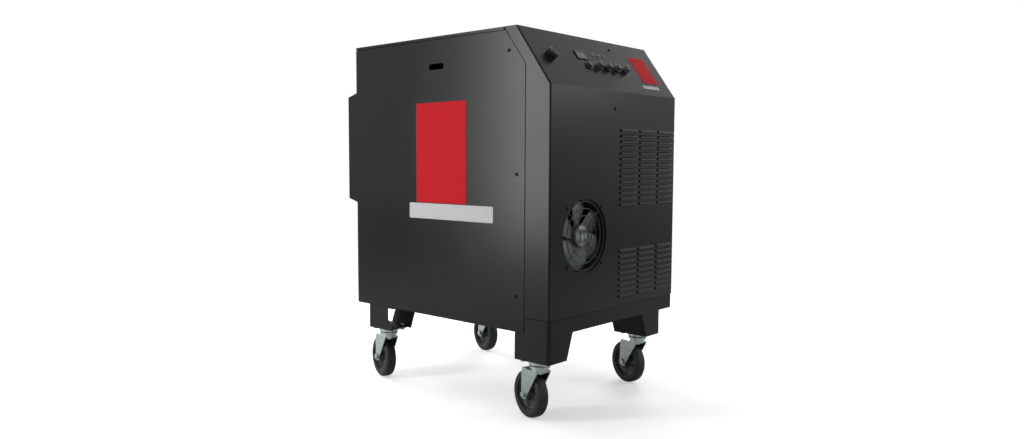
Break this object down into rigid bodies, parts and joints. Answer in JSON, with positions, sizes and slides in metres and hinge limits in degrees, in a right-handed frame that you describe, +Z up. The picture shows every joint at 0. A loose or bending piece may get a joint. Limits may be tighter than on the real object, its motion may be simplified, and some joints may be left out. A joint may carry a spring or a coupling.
{
  "type": "plasma cutter power unit",
  "caption": "Floor-standing plasma cutter power cabinet with a sloped control console, front fan and louvres, rear intake hood and swivel casters.",
  "frame": {"origin": "on the floor, under the middle of the bounding box", "axes": "+Z up, -Y out of the front with the fan and louvres, +X to the right seen from the front"},
  "size_m": [0.6044, 0.82, 1.0208],
  "materials": {
    "cabinet_coat": "satin powder coat",
    "frame_coat": "satin powder coat",
    "bulkhead_steel": "bare zinc-coated sheet",
    "zinc_steel": "bright zinc plate",
    "dark_screw": "black oxide",
    "seal_rubber": "matte",
    "cap_plastic": "fine grain",
    "window_plastic": "gloss",
    "lamp_plastic": "gloss",
    "button_plastic": "gloss",
    "knob_plastic": "fine grain",
    "module_plastic": "matte",
    "guard_wire": "satin",
    "shroud_plastic": "matte",
    "blade_aluminium": "satin",
    "fan_motor_coat": "satin",
    "radiator_aluminium": "satin",
    "tank_plastic": "natural",
    "motor_coat": "satin enamel",
    "pump_brass": "cast",
    "shaft_steel": "turned",
    "pipe_rubber": "matte",
    "core_steel": "varnished laminations",
    "winding_copper": "varnished",
    "heatsink_aluminium": "satin",
    "capacitor_sleeve": "gloss",
    "contactor_plastic": "matte",
    "board_laminate": "solder mask",
    "manifold_aluminium": "satin",
    "inlet_brass": "turned",
    "gland_plastic": "matte",
    "socket_shell": "satin",
    "breaker_plastic": "matte",
    "rocker_plastic": "gloss",
    "wheel_rubber": "matte"
  },
  "bodies": {
    "cabinet": {"base_pan": "frame_coat", "leg_front_left": "frame_coat", "leg_front_right": "frame_coat", "leg_rear_left": "frame_coat", "leg_rear_right": "frame_coat", "front_panel": "cabinet_coat", "left_side_panel": "cabinet_coat", "right_side_panel": "cabinet_coat", "top_panel": "cabinet_coat", "rear_panel": "cabinet_coat", "rear_hood": "cabinet_coat", "center_bulkhead": "bulkhead_steel", "panel_screws": "dark_screw", "frame_bolts": "zinc_steel", "display_window": "window_plastic", "indicator_lamps": "lamp_plastic", "control_modules": "module_plastic", "fan_guard": "guard_wire", "fan_shroud": "shroud_plastic", "fan_motor": "fan_motor_coat", "radiator": "radiator_aluminium", "coolant_tank": "tank_plastic", "pump_motor": "motor_coat", "pump_head": "pump_brass", "coolant_pipes": "pipe_rubber", "transformer_core": "core_steel", "transformer_coils": "winding_copper", "inductors": "winding_copper", "chopper_heatsink": "heatsink_aluminium", "capacitors": "capacitor_sleeve", "contactor": "contactor_plastic", "control_board": "board_laminate", "gas_manifold": "manifold_aluminium", "gas_inlets": "inlet_brass", "cable_glands": "gland_plastic", "control_socket": "socket_shell", "breaker_body": "breaker_plastic", "caster_plates": "zinc_steel"},
    "fork_front_left": {"caster_fork_front_left": "zinc_steel", "caster_axle_front_left": "zinc_steel"},
    "wheel_front_left": {"caster_wheel_front_left": "wheel_rubber"},
    "fork_front_right": {"caster_fork_front_right": "zinc_steel", "caster_axle_front_right": "zinc_steel"},
    "wheel_front_right": {"caster_wheel_front_right": "wheel_rubber"},
    "fork_rear_left": {"caster_fork_rear_left": "zinc_steel", "caster_axle_rear_left": "zinc_steel"},
    "wheel_rear_left": {"caster_wheel_rear_left": "wheel_rubber"},
    "fork_rear_right": {"caster_fork_rear_right": "zinc_steel", "caster_axle_rear_right": "zinc_steel"},
    "wheel_rear_right": {"caster_wheel_rear_right": "wheel_rubber"},
    "impeller": {"fan_impeller": "blade_aluminium"},
    "pump_shaft": {"pump_coupling": "shaft_steel"},
    "cap_seal": {"filler_seal": "seal_rubber"},
    "cap": {"filler_cap": "cap_plastic"},
    "current_dial": {"current_knob": "knob_plastic"},
    "gas_select_dial": {"gas_select_knob": "knob_plastic"},
    "plasma_pressure_dial": {"plasma_pressure_knob": "knob_plastic"},
    "shield_pressure_dial": {"shield_pressure_knob": "knob_plastic"},
    "button": {"power_button": "button_plastic"},
    "rocker": {"breaker_rocker": "rocker_plastic"}
  },
  "joints": [
    {"name": "swivel_front_left", "type": "hinge", "parent": "cabinet", "child": "fork_front_left", "pos_m": [-0.2655, -0.348, 0.14], "axis": [0, 0, 1], "continuous": true},
    {"name": "swivel_front_right", "type": "hinge", "parent": "cabinet", "child": "fork_front_right", "pos_m": [0.1995, -0.348, 0.14], "axis": [0, 0, 1], "continuous": true},
    {"name": "swivel_rear_left", "type": "hinge", "parent": "cabinet", "child": "fork_rear_left", "pos_m": [-0.2655, 0.258, 0.14], "axis": [0, 0, 1], "continuous": true},
    {"name": "swivel_rear_right", "type": "hinge", "parent": "cabinet", "child": "fork_rear_right", "pos_m": [0.1995, 0.258, 0.14], "axis": [0, 0, 1], "continuous": true},
    {"name": "roll_front_left", "type": "hinge", "parent": "fork_front_left", "child": "wheel_front_left", "pos_m": [-0.25448, -0.30955, 0.0635], "axis": [0.9613, -0.2756, 0], "continuous": true},
    {"name": "roll_front_right", "type": "hinge", "parent": "fork_front_right", "child": "wheel_front_right", "pos_m": [0.21052, -0.30955, 0.0635], "axis": [0.9613, -0.2756, 0], "continuous": true},
    {"name": "roll_rear_left", "type": "hinge", "parent": "fork_rear_left", "child": "wheel_rear_left", "pos_m": [-0.25448, 0.29645, 0.0635], "axis": [0.9613, -0.2756, 0], "continuous": true},
    {"name": "roll_rear_right", "type": "hinge", "parent": "fork_rear_right", "child": "wheel_rear_right", "pos_m": [0.21052, 0.29645, 0.0635], "axis": [0.9613, -0.2756, 0], "continuous": true},
    {"name": "fan_spin", "type": "hinge", "parent": "cabinet", "child": "impeller", "pos_m": [-0.152, -0.38, 0.4798], "axis": [0, 1, 0], "continuous": true},
    {"name": "pump_spin", "type": "hinge", "parent": "cabinet", "child": "pump_shaft", "pos_m": [-0.192, 0.032, 0.3108], "axis": [0, 1, 0], "continuous": true},
    {"name": "cap_lift", "type": "slide", "parent": "cabinet", "child": "cap_seal", "axis": [0, -0.8087, 0.5882], "range_m": [0, 0.0075]},
    {"name": "cap_turn", "type": "hinge", "parent": "cap_seal", "child": "cap", "pos_m": [-0.228, -0.34618, 0.94767], "axis": [0, -0.8087, 0.5882], "range_deg": [0, 455]},
    {"name": "current_turn", "type": "hinge", "parent": "cabinet", "child": "current_dial", "pos_m": [-0.031, -0.35559, 0.93473], "axis": [0, -0.8087, 0.5882], "range_deg": [-165, 105]},
    {"name": "gas_select_turn", "type": "hinge", "parent": "cabinet", "child": "gas_select_dial", "pos_m": [0.012, -0.35559, 0.93473], "axis": [0, -0.8087, 0.5882], "range_deg": [-60, 60]},
    {"name": "plasma_pressure_turn", "type": "hinge", "parent": "cabinet", "child": "plasma_pressure_dial", "pos_m": [0.055, -0.35559, 0.93473], "axis": [0, -0.8087, 0.5882], "range_deg": [-170, 90]},
    {"name": "shield_pressure_turn", "type": "hinge", "parent": "cabinet", "child": "shield_pressure_dial", "pos_m": [0.098, -0.35559, 0.93473], "axis": [0, -0.8087, 0.5882], "range_deg": [-90, 170]},
    {"name": "power_press", "type": "slide", "parent": "cabinet", "child": "button", "axis": [0, 0.8087, -0.5882], "range_m": [0, 0.004], "stiffness_N_per_m": 400, "springref_m": -0.002},
    {"name": "breaker_throw", "type": "hinge", "parent": "cabinet", "child": "rocker", "pos_m": [0.219, 0.363, 0.4798], "axis": [1, 0, 0], "range_deg": [0, 28]}
  ],
  "couplings": [
    {"joint": "cap_turn", "follows": "cap_lift", "rad_per_m": 1047.2}
  ]
}
